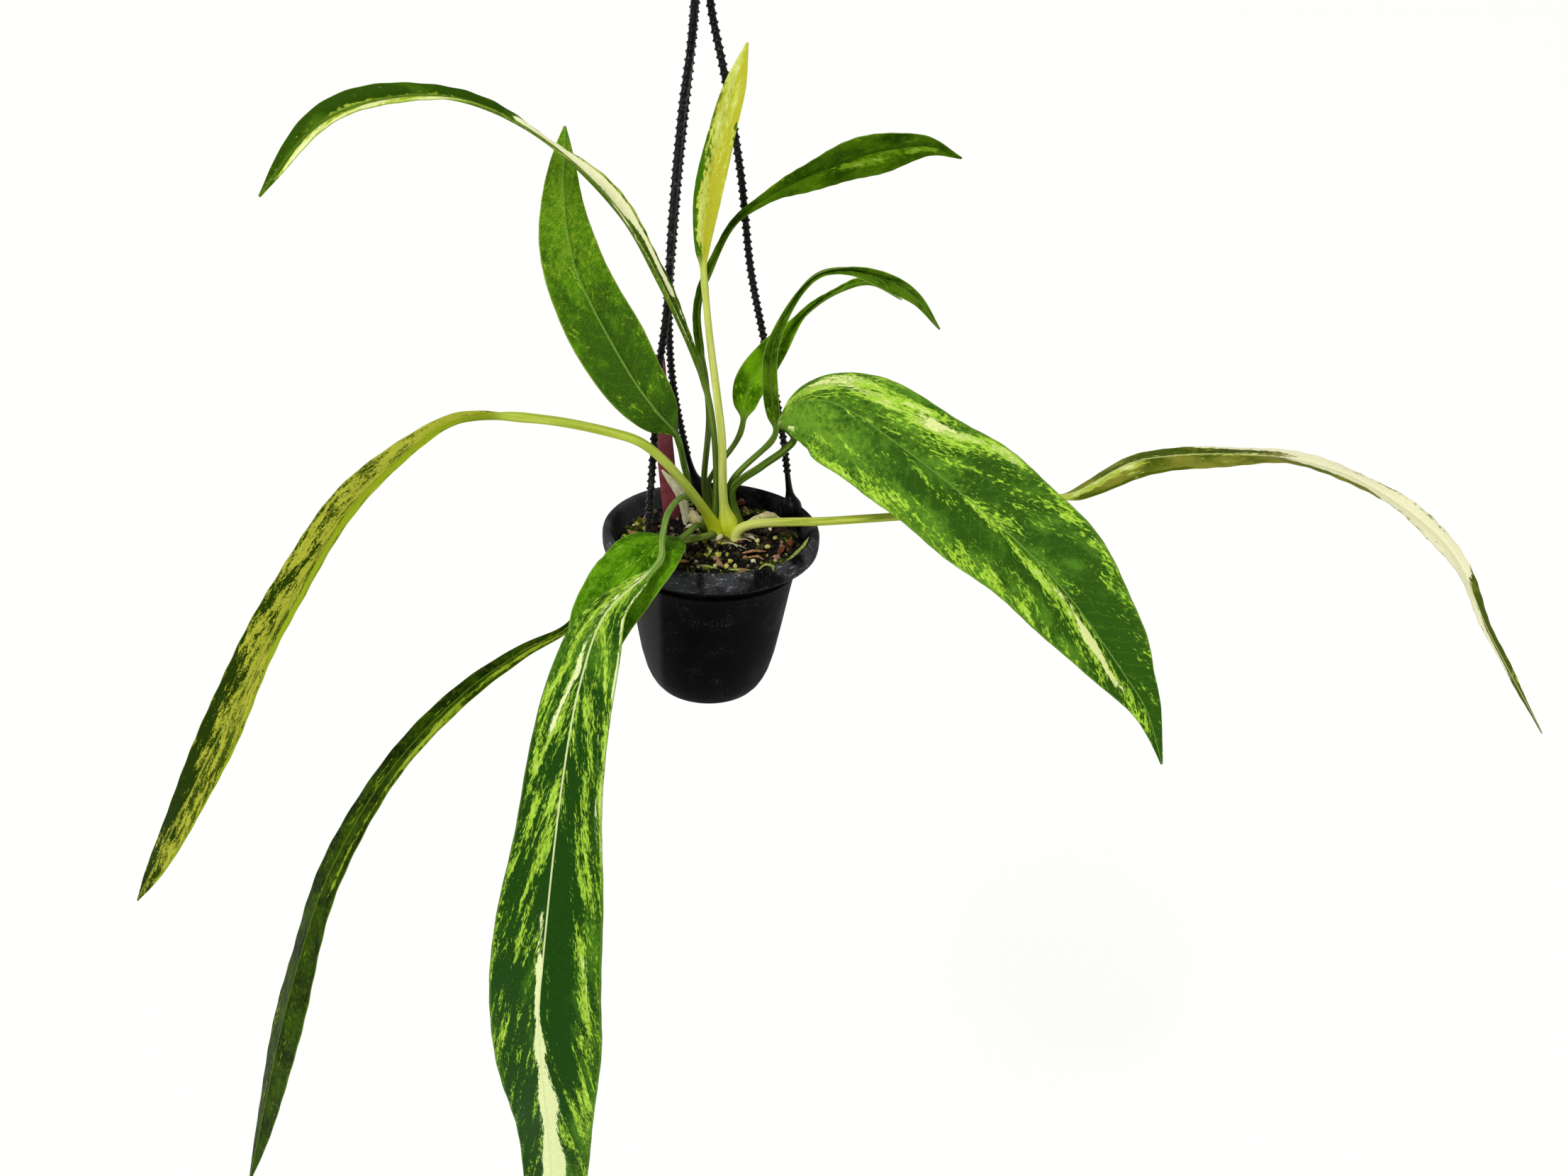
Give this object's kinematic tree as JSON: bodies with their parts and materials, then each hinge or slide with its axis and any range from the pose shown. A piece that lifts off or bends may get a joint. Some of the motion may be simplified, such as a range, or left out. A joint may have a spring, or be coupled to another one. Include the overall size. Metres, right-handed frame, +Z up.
{
  "type": "potted anthurium",
  "caption": "Variegated strap-leaved anthurium in a black plastic hanging pot, held by ribbed strands and a hook, with long arching leaves.",
  "frame": {"origin": "the seat of the hook, the lowest point of the inside of its top, which the whole part hangs from", "axes": "+Z up, +X to the right and +Y to the back as the pot is seen from the front; the pot stands upright"},
  "size_m": [0.826, 0.2996, 0.9102],
  "materials": {
    "pot": "satin",
    "potting_mix": "rough",
    "crown_stem": "rough",
    "aerial_root_left": "matt",
    "aerial_root_right": "matt",
    "old_stalk": "matt",
    "label_stake": "matt",
    "strand_left": "satin",
    "strand_back": "satin",
    "strand_right": "satin",
    "hanger_hook": "satin",
    "leaf_arching_left_high": "cream and green, satin",
    "leaf_broad_left": "mid green, satin",
    "leaf_new_upright": "yellow-green, satin",
    "leaf_upper_right": "dark green, satin",
    "leaf_arching_right": "dark green, satin",
    "leaf_arching_right_rear": "dark green, satin",
    "leaf_variegated_right": "green marbled with lime and cream, satin",
    "leaf_far_right": "cream and light green, satin",
    "leaf_far_left": "olive yellow with dark green flecks, satin",
    "leaf_low_left": "dark green, satin",
    "leaf_long_front": "green marbled with lime and cream, satin",
    "leaf_broad_front": "mid green, satin"
  },
  "bodies": {
    "root": {"pot": "pot", "potting_mix": "potting_mix", "crown_stem": "crown_stem", "aerial_root_left": "aerial_root_left", "aerial_root_right": "aerial_root_right", "old_stalk": "old_stalk", "label_stake": "label_stake", "strand_left": "strand_left", "strand_back": "strand_back", "strand_right": "strand_right", "hanger_hook": "hanger_hook", "leaf_arching_left_high": "leaf_arching_left_high", "leaf_broad_left": "leaf_broad_left", "leaf_new_upright": "leaf_new_upright", "leaf_upper_right": "leaf_upper_right", "leaf_arching_right": "leaf_arching_right", "leaf_arching_right_rear": "leaf_arching_right_rear", "leaf_variegated_right": "leaf_variegated_right", "leaf_far_right": "leaf_far_right", "leaf_far_left": "leaf_far_left", "leaf_low_left": "leaf_low_left", "leaf_long_front": "leaf_long_front", "leaf_broad_front": "leaf_broad_front"}
  },
  "joints": []
}
